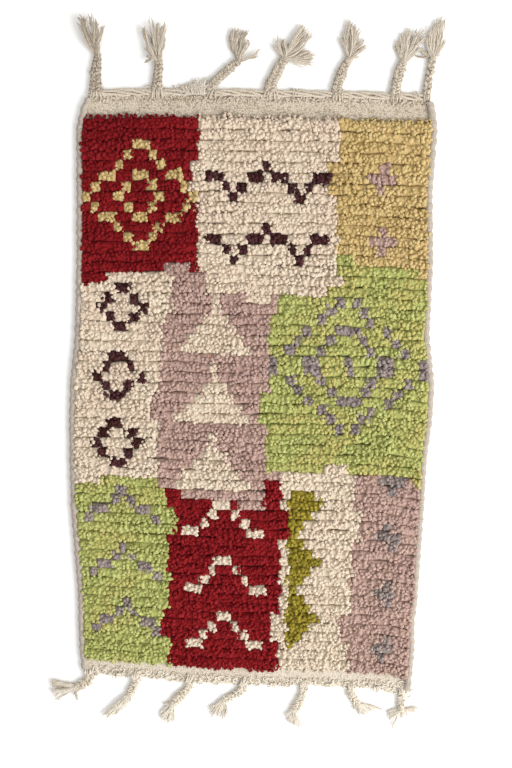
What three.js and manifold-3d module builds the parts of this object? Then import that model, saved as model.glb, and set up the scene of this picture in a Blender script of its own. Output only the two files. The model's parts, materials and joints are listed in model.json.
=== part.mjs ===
// A small hand-knotted Moroccan pile rug, lying flat, with braided tassels at both ends.
// Millimetres, +Z up. The rug lies on the plane z = 0. The origin is the middle of its underside,
// +Y runs along the warp towards the upper end and +X across it to the right.
import * as THREE from 'three';
import Module from 'manifold-3d';

const wasm = await Module();
wasm.setup();

// Heights of the woven bands and of the pile. Each row of knots leans towards the upper end,
// so it is a low ramp with a steep front, and a shallow trough parts it from the next row.
const BAND_HEIGHT = 4;
const BAND_WAVE = 0.4;
const BAND_WAVE_TURN = 1.3;
const PILE_HEIGHT = 17;
const ROW_TROUGH = 3.6;
const LUMP_HEIGHT = 1.1;
const LUMP_TURNS = { row: 1.7, column: 2.3, crossRow: 0.9, crossColumn: 1.9 };
const ROW_COUNT = 56;
const ROW_FRONT_SHARE = 0.26;
const ROW_WAVE = 1.4;
const ROW_WAVE_RUN = 61;
const ROW_WAVE_TURN = 0.7;

// Widths of the flat-woven bands between the pile and the cloth's two ends
const UPPER_BAND = 36;
const LOWER_BAND = 23;
const BAND_STEPS = 3;
const PILE_FOOT_SHARE = 0.12;

// Section of a side: a wrapped selvedge, then the rise to the pile
const SIDE_SECTION = [
  { inset: 0, height: 4, pileShare: 0 },
  { inset: 4, height: 6, pileShare: 0 },
  { inset: 9, height: 5, pileShare: 0 },
  { inset: 12, height: 5, pileShare: 0.72 },
  { inset: 20, height: 4.5, pileShare: 1 },
];
const INNER_COLUMNS = 14;
const CROSSING_PASSES = 4;

// The cloth's side edges, from the lower end up: widest at the middle, drawn in at the upper end
const SIDE_EDGES = [
  { y: -508, left: -296, right: 281 },
  { y: -470, left: -297, right: 284 },
  { y: -429, left: -300, right: 287 },
  { y: -380, left: -301, right: 286 },
  { y: -341, left: -300, right: 290 },
  { y: -297, left: -302, right: 292 },
  { y: -168, left: -309, right: 298 },
  { y: -84, left: -309, right: 301 },
  { y: -21, left: -308, right: 308 },
  { y: 41, left: -305, right: 310 },
  { y: 123, left: -295, right: 300 },
  { y: 243, left: -289, right: 303 },
  { y: 361, left: -286, right: 299 },
  { y: 462, left: -284, right: 305 },
  { y: 496, left: -276, right: 300 },
  { y: 516, left: -266, right: 292 },
];

// The cloth's end edges, inside the edge cords
const END_EDGES = [
  { x: -300, top: 512.5, bottom: -464 },
  { x: -160, top: 516, bottom: -476 },
  { x: -60, top: 515, bottom: -485 },
  { x: 130, top: 512, bottom: -490 },
  { x: 225, top: 509, bottom: -494 },
  { x: 300, top: 507, bottom: -510 },
];

// Edge cords of twined warp ends, which bow out a little between the tassels
const PIECE_GAP = 0.3;
const CORD_WIDTH = 8.5;
const CORD_BOW = 2.4;
const CORD_BOW_RUN = 30;
const CORD_SIDE_HEIGHT = 4.5;
const CORD_CREST_HEIGHT = 7;
const CORD_CREST_SHARE = 0.28;
const CORD_TWIST = 1.2;
const CORD_STEP = 10;
const SHORTEST_CORD_STEP = 1;
const CORD_END_INSET = 3;
const ROOT_MARGIN = 2;

// Tassels: a braid that leaves its cord at the heading and turns, then a brush of loose locks. A braid's root
// and end are its widths. Angles are degrees from straight outwards, towards +X where positive, and lengths
// are millimetres.
const TASSELS = {
  top: [
    { x: -251, heading: 2, turn: 6, braid: 57, root: 21, end: 12, brush: 64, fan: -6, spread: 46, locks: 7 },
    { x: -151, heading: 4, turn: 2, braid: 46, root: 18, end: 13, brush: 58, fan: -12, spread: 52, locks: 7 },
    { x: -63, heading: 45, turn: 8, braid: 64, root: 17, end: 12, brush: 48, fan: 22, spread: 72, locks: 7 },
    { x: 32, heading: 22, turn: 11, braid: 58, root: 22, end: 14, brush: 52, fan: 42, spread: 116, locks: 8 },
    { x: 140, heading: 12, turn: 20, braid: 57, root: 19, end: 13, brush: 50, fan: 14, spread: 84, locks: 7 },
    { x: 235, heading: 6, turn: 16, braid: 54, root: 19, end: 14, brush: 50, fan: 4, spread: 66, locks: 7 },
    { x: 286, heading: 4, turn: 10, braid: 60, root: 13, end: 12, brush: 60, fan: 12, spread: 46, locks: 6 },
  ],
  bottom: [
    { x: -283, heading: -30, turn: -46, braid: 39, root: 16, end: 14, brush: 41, fan: -72, spread: 46, locks: 6 },
    { x: -202, heading: -30, turn: 6, braid: 34, root: 14, end: 13, brush: 66, fan: -42, spread: 46, locks: 6 },
    { x: -107, heading: -44, turn: 0, braid: 52, root: 13, end: 15, brush: 36, fan: -20, spread: 46, locks: 6 },
    { x: -13, heading: -58, turn: 0, braid: 46, root: 13, end: 13, brush: 40, fan: -26, spread: 64, locks: 6 },
    { x: 93, heading: -6, turn: -34, braid: 48, root: 13, end: 15, brush: 36, fan: -14, spread: 58, locks: 6 },
    { x: 176, heading: 12, turn: 32, braid: 34, root: 13, end: 12, brush: 38, fan: 46, spread: 60, locks: 6 },
    { x: 266, heading: -14, turn: 20, braid: 28, root: 12, end: 11, brush: 36, fan: 8, spread: 120, locks: 7 },
  ],
};

// Braid section, in shares of its half width and its height, with a flat underside
const BRAID_SECTION = [
  { across: -0.62, up: 0 },
  { across: -1, up: 0.38 },
  { across: -0.66, up: 0.92 },
  { across: 0, up: 1 },
  { across: 0.66, up: 0.92 },
  { across: 1, up: 0.38 },
  { across: 0.62, up: 0 },
];
const BRAID_HEIGHT = 9.5;
const BRAID_THINNING = 0.1;
const BRAID_STEP = 6;
const BRAID_BULGE = 0.12;
const BRAID_ROOT_RUN = 14;
const BRAID_END_HEIGHT = 0.76;

// Sections of a lock, from inside the braid's end to its tip. Its underside lies on the floor.
const LOCK_SECTIONS = [
  { along: -0.16, width: 4.4, height: 5.2 },
  { along: 0.3, width: 4.8, height: 4.8 },
  { along: 0.68, width: 3.6, height: 3.4 },
  { along: 1, width: 1.3, height: 1.2 },
];
const LOCK_TOP_SHARE = 0.55;
const LOCK_ROOT_SHARE = 0.6;
const LOCK_BOW = 0.05;
const LOCK_LENGTHS = [0.84, 1, 0.9, 0.97, 0.86, 1, 0.8, 0.93];

const creamWool = new THREE.MeshStandardMaterial({ color: 0xcbb89d, roughness: 0.95, metalness: 0 });
const pileWool = new THREE.MeshStandardMaterial({ color: 0xb3a58a, roughness: 1, metalness: 0 });

// A value of a table between the two rows on either side of a position. Rows are in order of position.
function valueAt(rows, positionName, valueName, position) {
  const next = rows.findIndex((row) => row[positionName] >= position);
  if (next === 0) return rows[0][valueName];
  if (next < 0) return rows[rows.length - 1][valueName];
  const low = rows[next - 1];
  const high = rows[next];
  const share = (position - low[positionName]) / (high[positionName] - low[positionName]);
  return THREE.MathUtils.lerp(low[valueName], high[valueName], share);
}

// Six times the volume that a list of triangles encloses
function volumeSum(points, triangles) {
  let sum = 0;
  for (const [a, b, c] of triangles) {
    const corner = new THREE.Vector3(...points[a]);
    const cross = new THREE.Vector3(...points[b]).cross(new THREE.Vector3(...points[c]));
    sum += corner.dot(cross);
  }
  return sum;
}

// A closed shape from its points and triangles, with its faces outwards
function closedShape(points, triangles) {
  if (volumeSum(points, triangles) < 0) {
    triangles = triangles.map(([a, b, c]) => [a, c, b]);
  }
  return { points, triangles };
}

// A shape that runs through rings of equal point count, with flat ends
function loft(rings) {
  const size = rings[0].length;
  const triangles = [];
  for (let ring = 0; ring + 1 < rings.length; ring += 1) {
    for (let side = 0; side < size; side += 1) {
      const here = ring * size + side;
      const beside = ring * size + ((side + 1) % size);
      triangles.push([here, beside, beside + size]);
      triangles.push([here, beside + size, here + size]);
    }
  }
  const lastRing = (rings.length - 1) * size;
  for (let side = 1; side + 1 < size; side += 1) {
    triangles.push([0, side + 1, side]);
    triangles.push([lastRing, lastRing + side, lastRing + side + 1]);
  }
  return closedShape(rings.flat(), triangles);
}

function geometryOf({ points, triangles }) {
  const geometry = new THREE.BufferGeometry();
  geometry.setAttribute('position', new THREE.Float32BufferAttribute(points.flat(), 3));
  geometry.setIndex(triangles.flat());
  return geometry;
}

function solidOf({ points, triangles }) {
  return new wasm.Manifold(new wasm.Mesh({
    numProp: 3,
    vertProperties: new Float32Array(points.flat()),
    triVerts: new Uint32Array(triangles.flat()),
  }));
}

// One geometry of shapes that run into each other
function joinedGeometry(shapes) {
  const joined = shapes.map(solidOf).reduce((whole, solid) => whole.add(solid));
  const mesh = joined.getMesh();
  const geometry = new THREE.BufferGeometry();
  geometry.setAttribute('position', new THREE.BufferAttribute(mesh.vertProperties, 3));
  geometry.setIndex(new THREE.BufferAttribute(mesh.triVerts, 1));
  return geometry;
}

function meshOf(name, geometry, material) {
  const mesh = new THREE.Mesh(geometry, material);
  mesh.name = name;
  return mesh;
}

// The columns of the cloth's surface, from the left side to the right one
function clothColumns() {
  const left = SIDE_SECTION.map((row) => ({ ...row, place: (low) => low + row.inset }));
  const right = SIDE_SECTION.map((row) => ({ ...row, place: (low, high) => high - row.inset })).reverse();
  const rise = SIDE_SECTION[SIDE_SECTION.length - 1].inset;
  const inner = [];
  for (let column = 1; column <= INNER_COLUMNS; column += 1) {
    const share = column / (INNER_COLUMNS + 1);
    const place = (low, high) => THREE.MathUtils.lerp(low + rise, high - rise, share);
    inner.push({ height: BAND_HEIGHT, pileShare: 1, place });
  }
  return [...left, ...inner, ...right];
}

// Pile height over a row's trough or crest, with small lumps that differ from place to place
function pileHeight(row, column, isCrest) {
  const along = Math.sin(LUMP_TURNS.row * row + LUMP_TURNS.column * column);
  const across = Math.cos(LUMP_TURNS.crossRow * row - LUMP_TURNS.crossColumn * column);
  const lump = along * across;
  return PILE_HEIGHT + LUMP_HEIGHT * lump - (isCrest ? 0 : ROW_TROUGH);
}

// The stations of the cloth's surface, from the lower end to the upper one. Each gives its place
// along the cloth between the two end edges, and its height at a column.
function clothStations() {
  const bandHeight = (step) => (column, index) => {
    return column.height + column.pileShare * BAND_WAVE * Math.sin(BAND_WAVE_TURN * index + step);
  };
  const pileSurface = (row, isCrest) => (column, index) => {
    return THREE.MathUtils.lerp(column.height, pileHeight(row, index, isCrest), column.pileShare);
  };
  const pilePlace = (rows) => (bottom, top, x) => {
    const share = rows / ROW_COUNT;
    const turn = x / ROW_WAVE_RUN + ROW_WAVE_TURN * Math.floor(rows);
    const wave = ROW_WAVE * Math.sin(turn) * Math.sin(Math.PI * share);
    return THREE.MathUtils.lerp(bottom + LOWER_BAND, top - UPPER_BAND, share) + wave;
  };
  const stations = [];
  for (let step = 0; step <= BAND_STEPS; step += 1) {
    const offset = (LOWER_BAND * step) / BAND_STEPS;
    stations.push({ place: (bottom) => bottom + offset, height: bandHeight(step) });
  }
  for (let row = 0; row < ROW_COUNT; row += 1) {
    const trough = row === 0 ? PILE_FOOT_SHARE : row;
    stations.push({ place: pilePlace(trough), height: pileSurface(row, false) });
    stations.push({ place: pilePlace(row + 1 - ROW_FRONT_SHARE), height: pileSurface(row, true) });
  }
  for (let step = BAND_STEPS; step >= 0; step -= 1) {
    const offset = (UPPER_BAND * step) / BAND_STEPS;
    stations.push({ place: (bottom, top) => top - offset, height: bandHeight(step) });
  }
  return stations;
}

// Where a station crosses a column: the two depend on each other, so the place is found in a few passes
function crossing(station, column) {
  let x = column.place(SIDE_EDGES[0].left, SIDE_EDGES[0].right);
  let y = 0;
  for (let pass = 0; pass < CROSSING_PASSES; pass += 1) {
    y = station.place(valueAt(END_EDGES, 'x', 'bottom', x), valueAt(END_EDGES, 'x', 'top', x), x);
    const low = valueAt(SIDE_EDGES, 'y', 'left', y);
    const high = valueAt(SIDE_EDGES, 'y', 'right', y);
    x = column.place(low, high);
  }
  return { x, y };
}

// The cloth's surface as rows of points, one row for each station
function clothSurface() {
  const columns = clothColumns();
  return clothStations().map((station) => columns.map((column, index) => {
    const { x, y } = crossing(station, column);
    return { x, y, z: station.height(column, index) };
  }));
}

// The rug: its surface, short walls round its edge and a flat underside
function rugGeometry(surface) {
  const width = surface[0].length;
  const points = surface.flat().map(({ x, y, z }) => [x, y, z]);
  const at = (station, column) => station * width + column;
  const triangles = [];
  for (let station = 0; station + 1 < surface.length; station += 1) {
    for (let column = 0; column + 1 < width; column += 1) {
      const corner = at(station, column);
      triangles.push([corner, corner + 1, corner + 1 + width]);
      triangles.push([corner, corner + 1 + width, corner + width]);
    }
  }
  const rim = [];
  const lastStation = surface.length - 1;
  for (let column = 0; column < width - 1; column += 1) rim.push(at(0, column));
  for (let station = 0; station < lastStation; station += 1) rim.push(at(station, width - 1));
  for (let column = width - 1; column > 0; column -= 1) rim.push(at(lastStation, column));
  for (let station = lastStation; station > 0; station -= 1) rim.push(at(station, 0));
  const floorStart = points.length;
  for (const index of rim) points.push([points[index][0], points[index][1], 0]);
  rim.forEach((index, place) => {
    const next = (place + 1) % rim.length;
    triangles.push([index, floorStart + place, floorStart + next]);
    triangles.push([index, floorStart + next, rim[next]]);
  });
  const outline = rim.map((index) => new THREE.Vector2(points[index][0], points[index][1]));
  for (const [a, b, c] of THREE.ShapeUtils.triangulateShape(outline, [])) {
    triangles.push([floorStart + a, floorStart + c, floorStart + b]);
  }
  return geometryOf(closedShape(points, triangles));
}

// Where an edge cord has its sections: at the cloth's own bends, on both sides of each tassel's root,
// and evenly between them
function cordPlaces(rim, tassels) {
  const low = rim[0].x + CORD_END_INSET;
  const high = rim[rim.length - 1].x - CORD_END_INSET;
  const rootHalf = (tassel) => tassel.root / 2 + ROOT_MARGIN;
  const onRoot = (x) => tassels.some((tassel) => Math.abs(x - tassel.x) < rootHalf(tassel));
  const bends = rim.map((point) => point.x).filter((x) => x > low && x < high && !onRoot(x));
  const rootEdges = tassels.flatMap((tassel) => [-1, 1].map((way) => tassel.x + way * rootHalf(tassel)));
  const fixed = [high, ...bends, ...rootEdges].map((x) => THREE.MathUtils.clamp(x, low, high));
  fixed.sort((a, b) => a - b);
  const places = [low];
  for (const next of fixed) {
    const last = places[places.length - 1];
    const span = next - last;
    if (span < SHORTEST_CORD_STEP) continue;
    const steps = onRoot((last + next) / 2) ? 1 : Math.ceil(span / CORD_STEP);
    for (let step = 1; step <= steps; step += 1) places.push(last + (span * step) / steps);
  }
  return places;
}

// How far a cord bows out at a place, from nothing at a root to the most halfway between two
function cordBow(x, tassels) {
  const gapTo = (tassel) => Math.max(0, Math.abs(x - tassel.x) - tassel.root / 2 - ROOT_MARGIN);
  const gaps = tassels.map(gapTo);
  return CORD_BOW * Math.min(1, Math.min(...gaps) / CORD_BOW_RUN);
}

// The inner and outer side of a cord along one end of the cloth
function cordSides(rim, tassels, side) {
  return cordPlaces(rim, tassels).map((x) => {
    const inner = valueAt(rim, 'x', 'y', x) + side * PIECE_GAP;
    return { x, inner, outer: inner + side * (CORD_WIDTH + cordBow(x, tassels)) };
  });
}

// A twined cord: its crest leans in and out by turns
function cordGeometry(sides) {
  const rings = sides.map(({ x, inner, outer }, index) => {
    const lean = index % 2 === 0 ? CORD_TWIST : -CORD_TWIST;
    const across = (share) => THREE.MathUtils.lerp(inner, outer, share);
    return [
      [x, inner, 0],
      [x, inner, CORD_SIDE_HEIGHT],
      [x, across(CORD_CREST_SHARE), CORD_CREST_HEIGHT + lean],
      [x, across(1 - CORD_CREST_SHARE), CORD_CREST_HEIGHT - lean],
      [x, outer, CORD_SIDE_HEIGHT],
      [x, outer, 0],
    ];
  });
  return geometryOf(loft(rings));
}

// The run of a braid on the floor: points with the direction across and the way out at each
function braidRun(tassel, sides, side) {
  const half = tassel.root / 2;
  const leftY = valueAt(sides, 'x', 'outer', tassel.x - half);
  const rightY = valueAt(sides, 'x', 'outer', tassel.x + half);
  const rootSlope = Math.atan2(rightY - leftY, tassel.root);
  const steps = Math.round(tassel.braid / BRAID_STEP);
  const stepLength = tassel.braid / steps;
  const place = new THREE.Vector2(tassel.x, (leftY + rightY) / 2 + side * PIECE_GAP);
  const run = [];
  for (let step = 0; step <= steps; step += 1) {
    const share = step / steps;
    const ease = THREE.MathUtils.smoothstep(step * stepLength, 0, BRAID_ROOT_RUN);
    const degrees = (tassel.heading + tassel.turn * share) * ease;
    const heading = THREE.MathUtils.degToRad(degrees) - (1 - ease) * side * rootSlope;
    const out = new THREE.Vector2(Math.sin(heading), side * Math.cos(heading));
    const across = new THREE.Vector2(Math.cos(heading), -side * Math.sin(heading));
    run.push({ place: place.clone(), out, across, share });
    place.addScaledVector(out, stepLength);
  }
  return run;
}

// A braid: its strands bulge left and right by turns, and it narrows where the brush is tied
function braidShape(tassel, run) {
  const rings = run.map(({ place, across, share }, step) => {
    const isEnd = step === run.length - 1;
    const width = THREE.MathUtils.lerp(tassel.root, tassel.end, share);
    const endHeight = isEnd ? BRAID_END_HEIGHT : 1;
    const bulgeSide = step % 2 === 0 ? 1 : -1;
    return BRAID_SECTION.map((corner) => {
      const bulge = step === 0 || isEnd ? 0 : BRAID_BULGE * bulgeSide * Math.sign(corner.across);
      const reach = corner.across * (1 + bulge) * (width / 2);
      const height = corner.up * BRAID_HEIGHT * endHeight * (1 - BRAID_THINNING * share);
      return [place.x + across.x * reach, place.y + across.y * reach, height];
    });
  });
  return loft(rings);
}

// One lock of a brush, level on the floor
function lockShape(tassel, braidEnd, side, lock) {
  const share = lock / (tassel.locks - 1) - 0.5;
  const heading = THREE.MathUtils.degToRad(tassel.fan + tassel.spread * share);
  const out = new THREE.Vector2(Math.sin(heading), side * Math.cos(heading));
  const across = new THREE.Vector2(Math.cos(heading), -side * Math.sin(heading));
  const root = braidEnd.place.clone();
  root.addScaledVector(braidEnd.across, share * tassel.end * LOCK_ROOT_SHARE);
  const length = tassel.brush * LOCK_LENGTHS[(lock + tassel.locks) % LOCK_LENGTHS.length];
  const bowSide = lock % 2 === 0 ? 1 : -1;
  const rings = LOCK_SECTIONS.map(({ along, width, height }) => {
    const centre = root.clone();
    centre.addScaledVector(along < 0 ? braidEnd.out : out, along * length);
    centre.addScaledVector(across, bowSide * LOCK_BOW * length * Math.sin(Math.PI * Math.max(0, along)));
    const corner = (reach, up) => [centre.x + across.x * reach, centre.y + across.y * reach, up];
    const topReach = (width / 2) * LOCK_TOP_SHARE;
    return [corner(-width / 2, 0), corner(-topReach, height), corner(topReach, height), corner(width / 2, 0)];
  });
  return loft(rings);
}

function tasselGeometry(tassel, sides, side) {
  const run = braidRun(tassel, sides, side);
  const shapes = [braidShape(tassel, run)];
  for (let lock = 0; lock < tassel.locks; lock += 1) {
    shapes.push(lockShape(tassel, run[run.length - 1], side, lock));
  }
  return joinedGeometry(shapes);
}

const rug = new THREE.Group();
const surface = clothSurface();
rug.add(meshOf('rug', rugGeometry(surface), pileWool));

for (const end of ['top', 'bottom']) {
  const side = end === 'top' ? 1 : -1;
  const rim = end === 'top' ? surface[surface.length - 1] : surface[0];
  const tassels = TASSELS[end];
  const sides = cordSides(rim, tassels, side);
  rug.add(meshOf(`edge_cord_${end}`, cordGeometry(sides), creamWool));
  tassels.forEach((tassel, index) => {
    rug.add(meshOf(`tassel_${end}_${index + 1}`, tasselGeometry(tassel, sides, side), creamWool));
  });
}

export default rug;
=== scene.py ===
import json
import math
from collections import namedtuple

import bpy
import numpy as np
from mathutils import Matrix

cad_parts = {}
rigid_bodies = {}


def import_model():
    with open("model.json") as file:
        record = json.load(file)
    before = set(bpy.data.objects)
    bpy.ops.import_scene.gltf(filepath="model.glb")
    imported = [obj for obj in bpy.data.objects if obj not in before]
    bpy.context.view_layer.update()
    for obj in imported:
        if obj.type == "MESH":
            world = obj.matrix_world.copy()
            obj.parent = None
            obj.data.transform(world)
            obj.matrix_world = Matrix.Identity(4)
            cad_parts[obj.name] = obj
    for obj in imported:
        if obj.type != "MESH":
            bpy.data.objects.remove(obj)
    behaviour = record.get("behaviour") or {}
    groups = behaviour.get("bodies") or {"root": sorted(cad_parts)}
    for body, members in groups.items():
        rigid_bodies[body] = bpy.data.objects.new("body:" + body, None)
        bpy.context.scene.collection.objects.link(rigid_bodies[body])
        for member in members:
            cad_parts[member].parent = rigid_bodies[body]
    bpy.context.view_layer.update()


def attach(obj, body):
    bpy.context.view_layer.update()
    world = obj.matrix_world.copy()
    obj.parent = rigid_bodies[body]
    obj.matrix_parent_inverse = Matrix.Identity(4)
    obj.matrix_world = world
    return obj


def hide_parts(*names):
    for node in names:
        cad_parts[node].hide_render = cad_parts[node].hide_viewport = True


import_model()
BODY = "root"
SEED = 11
TURN = 2 * math.pi

# The photo's camera: above the rug's upper half, tilted a little towards its lower end
CAMERA_PLACE = (0.009, 0.367, 1.973)
CAMERA_TILT = math.asin(0.163)
SENSOR_WIDTH = 36.0
FOCAL_PIXELS = 1183
LONG_SIDE_PIXELS = 768

# Outline of the cloth, as in the CAD model. The sides draw in towards the upper end.
SIDE_Y, SIDE_LEFT, SIDE_RIGHT = np.array([
    (-0.508, -0.296, 0.281),
    (-0.470, -0.297, 0.284),
    (-0.429, -0.300, 0.287),
    (-0.380, -0.301, 0.286),
    (-0.341, -0.300, 0.290),
    (-0.297, -0.302, 0.292),
    (-0.168, -0.309, 0.298),
    (-0.084, -0.309, 0.301),
    (-0.021, -0.308, 0.308),
    (0.041, -0.305, 0.310),
    (0.123, -0.295, 0.300),
    (0.243, -0.289, 0.303),
    (0.361, -0.286, 0.299),
    (0.462, -0.284, 0.305),
    (0.496, -0.276, 0.300),
    (0.516, -0.266, 0.292),
]).T
END_X, END_TOP, END_BOTTOM = np.array([
    (-0.300, 0.5125, -0.464),
    (-0.160, 0.516, -0.476),
    (-0.060, 0.515, -0.485),
    (0.130, 0.512, -0.490),
    (0.225, 0.509, -0.494),
    (0.300, 0.507, -0.510),
]).T
UPPER_BAND = 0.036
LOWER_BAND = 0.023
LOWER_BAND_WIDENS = 0.0045
PLACE_PASSES = 4

# The knots: two yarn ends each, in rows that lean towards the upper end
ROWS = 56
KNOTS = 42
ENDS = 2 * KNOTS
PILE_INSET = 0.0104
ROW_PITCH = 0.0167
ROW_WAVE = 0.0017
ROW_WAVE_RUN = 0.061
ROW_WAVE_TURN = 0.7
OUTER_ROW = 0.36
OUTER_ROWS = [-OUTER_ROW, ROWS - 1 + OUTER_ROW]

# Colour blocks, in rows from the lower end and knots from the left side, each with its own figure.
# Where two overlap, the one that comes first is woven.
Block = namedtuple("Block", "first_row end_row first_knot end_knot wool figure figure_wool")
BLOCKS = [
    Block(41, 56, 0, 14, "red", "stepped_lozenge", "gold"),
    Block(39, 56, 14, 31, "ivory", "waves", "brown"),
    Block(42, 56, 31, 42, "gold", "crosses", "lilac"),
    Block(20, 42, 0, 10, "ivory", "lozenge_chain", "brown"),
    Block(18, 40, 10, 23, "lilac", "triangles", "ivory"),
    Block(21, 43, 23, 42, "green", "nested_lozenge", "grey"),
    Block(0, 21, 0, 11, "green", "chevrons", "grey"),
    Block(0, 20, 11, 25, "red", "arrowheads", "ivory"),
    Block(0, 22, 25, 34, "ivory", "sawtooth", "olive"),
    Block(0, 22, 34, 42, "lilac", "crosses", "grey"),
]

# Edge cords of twined warp ends
PIECE_GAP = 0.0003
CORD_WIDTH = 0.0085
CORD_END_INSET = 0.003
CORD_STRANDS = {"top": 4, "bottom": 0}
STRAND_RADIUS = 0.0022
CORD_PITCH = 0.105
CORD_STEP = 0.0026
CORE_SECTION = [(0.04, 0.0004), (0.04, 0.0022), (0.5, 0.0027), (0.96, 0.0021), (0.96, 0.0004)]

# Tassels, as in the CAD model: a braid with its widths at the root and the end and the run of a plait, and
# how far its brush lifts off the floor. A negative shade is painted shade and a positive one painted light,
# after how the light falls across the rug. Angles are degrees from straight outwards, towards +X where
# positive.
Tassel = namedtuple("Tassel", "x heading turn braid root end pitch lift shade")
TASSELS = {
    "top": [
        Tassel(-0.251, 2, 6, 0.057, 0.021, 0.012, 0.019, 0.010, -1.5),
        Tassel(-0.151, 4, 2, 0.046, 0.018, 0.013, 0.020, 0.007, -1.0),
        Tassel(-0.063, 45, 8, 0.064, 0.017, 0.012, 0.017, 0.002, -0.8),
        Tassel(0.032, 22, 11, 0.058, 0.022, 0.014, 0.018, 0.003, -0.2),
        Tassel(0.140, 12, 20, 0.057, 0.019, 0.013, 0.016, 0.002, 0.0),
        Tassel(0.235, 6, 16, 0.054, 0.019, 0.014, 0.015, 0.001, 0.0),
        Tassel(0.286, 4, 10, 0.060, 0.013, 0.012, 0.026, 0.001, 0.0),
    ],
    "bottom": [
        Tassel(-0.283, -30, -46, 0.039, 0.016, 0.014, 0.019, 0.003, -1.2),
        Tassel(-0.202, -30, 6, 0.034, 0.014, 0.013, 0.018, 0.003, -0.2),
        Tassel(-0.107, -44, 0, 0.052, 0.013, 0.015, 0.018, 0.001, 0.0),
        Tassel(-0.013, -58, 0, 0.046, 0.013, 0.013, 0.022, 0.001, 0.3),
        Tassel(0.093, -6, -34, 0.048, 0.013, 0.015, 0.019, 0.001, 0.3),
        Tassel(0.176, 12, 32, 0.034, 0.013, 0.012, 0.021, 0.001, 0.0),
        Tassel(0.266, -14, 20, 0.028, 0.012, 0.011, 0.020, 0.001, 0.0),
    ],
}

# The locks of each tassel's brush, from left to right
Lock = namedtuple("Lock", "heading length yarns")
LOCKS = {
    "top": [
        [(-25, 0.064, 5), (-18, 0.066, 9), (-9, 0.063, 9), (-1, 0.055, 8),
         (9, 0.047, 9)],
        [(-104, 0.022, 5), (-72, 0.020, 4), (-42, 0.028, 3), (-25, 0.060, 7),
         (-12, 0.068, 3), (-6, 0.078, 1), (-2, 0.058, 9), (5, 0.060, 10), (11, 0.040, 5)],
        [(-12, 0.046, 4), (-5, 0.051, 9), (3, 0.052, 10), (11, 0.051, 9),
         (20, 0.057, 2), (29, 0.040, 7), (59, 0.043, 3), (68, 0.035, 2)],
        [(-42, 0.025, 4), (-22, 0.028, 8), (-13, 0.042, 1), (0, 0.031, 7),
         (32, 0.060, 9), (39, 0.060, 9), (46, 0.059, 8), (58, 0.040, 4), (75, 0.042, 6),
         (80, 0.052, 3), (88, 0.045, 9), (99, 0.044, 8), (110, 0.036, 1)],
        [(-18, 0.034, 7), (-9, 0.043, 6), (2, 0.061, 8), (10, 0.056, 9),
         (20, 0.052, 7), (33, 0.041, 6), (50, 0.033, 7), (75, 0.016, 3)],
        [(-25, 0.028, 4), (-13, 0.035, 5), (1, 0.043, 8), (12, 0.052, 9),
         (24, 0.057, 8), (33, 0.067, 2), (39, 0.052, 6), (51, 0.035, 6)],
        [(-90, 0.027, 2), (-56, 0.026, 3), (-16, 0.034, 6), (-7, 0.046, 5),
         (4, 0.055, 7), (8, 0.061, 8), (13, 0.068, 8), (36, 0.035, 3), (70, 0.011, 3)],
    ],
    "bottom": [
        [(-105, 0.045, 8), (-95, 0.045, 8), (-83, 0.043, 8), (-71, 0.043, 7),
         (-60, 0.045, 3), (10, 0.019, 4)],
        [(-49, 0.060, 3), (-46, 0.062, 8), (-42, 0.061, 8), (-38, 0.046, 7),
         (-29, 0.032, 6), (-12, 0.013, 4)],
        [(-84, 0.015, 6), (-42, 0.031, 7), (-33, 0.036, 8), (-24, 0.041, 3),
         (-18, 0.036, 8), (-9, 0.034, 7), (-4, 0.038, 1)],
        [(-58, 0.036, 4), (-42, 0.040, 6), (-26, 0.034, 6), (-8, 0.036, 6),
         (3, 0.030, 4)],
        [(-42, 0.020, 5), (-24, 0.026, 6), (-10, 0.029, 7), (3, 0.029, 6),
         (17, 0.040, 2)],
        [(-60, 0.009, 4), (16, 0.022, 4), (34, 0.024, 4), (50, 0.027, 5),
         (60, 0.031, 5), (68, 0.034, 3), (72, 0.048, 2)],
        [(-72, 0.024, 7), (-56, 0.025, 6), (-44, 0.029, 5), (-19, 0.044, 2),
         (4, 0.018, 4), (46, 0.018, 5), (78, 0.026, 4), (92, 0.030, 5)],
    ],
}
SIDES = {"top": 1, "bottom": -1}
BRAID_STEP = 0.0019
BRAID_ROOT_RUN = 0.014
BRAID_FULL_WIDTHS = {"top": 0.0150, "bottom": 0.0132}
BRAID_YARN_RADIUS = 0.00138
BRAID_MIDDLE = 0.0047
BRAID_LIFT = 0.0021
BRAID_LIGHT = 0.28
BRAID_FUZZ = 10
STRAND_PLACES = [(-0.0020, -0.0002), (0, 0.0009), (0.0020, -0.0002), (-0.0011, -0.0016), (0.0011, -0.0016)]
FILL_YARNS = 7
BRUSH_RADIUS = 0.00092
BRUSH_STEP = 0.0029
BRUSH_TURN = 0.012
BRUSH_BOW = (1.35, 0.55)
BRUSH_FULLER = 1.35
BRUSH_SUNK = 0.004
LOCK_PACK = 0.00075

# Wools, with the colour of each at its darkest, which also paints shade deep in the pile, over most of it, at
# its palest, which also paints light on the tips, and in patches
Wool = namedtuple("Wool", "deep main worn tint slot")
WOOLS = {
    "green": Wool("#848541", "#b3b771", "#c9cd8e", "#c0aa69", "green_wool"),
    "red": Wool("#62070a", "#881a1f", "#9a393d", "#650a10", "red_wool"),
    "ivory": Wool("#cab8a2", "#d9cab5", "#dbccb7", "#d0b8a5", "cream_wool"),
    "lilac": Wool("#95776c", "#bca093", "#c9aea1", "#a98a84", "lilac_wool"),
    "gold": Wool("#a3864a", "#ccb482", "#d9c492", "#bda368", "gold_wool"),
    "grey": Wool("#5c504e", "#9c8e88", "#bfb2ac", "#877a80", "grey_wool"),
    "olive": Wool("#55480c", "#9c8c34", "#bfae5a", "#8a8030", "gold_wool"),
    "brown": Wool("#170a08", "#43231d", "#6b443a", "#53313b", "brown_wool"),
}
WARP = Wool("#6b5d49", "#c5b7a2", "#e2d8c8", "#b3a28a", "warp_wool")
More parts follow.
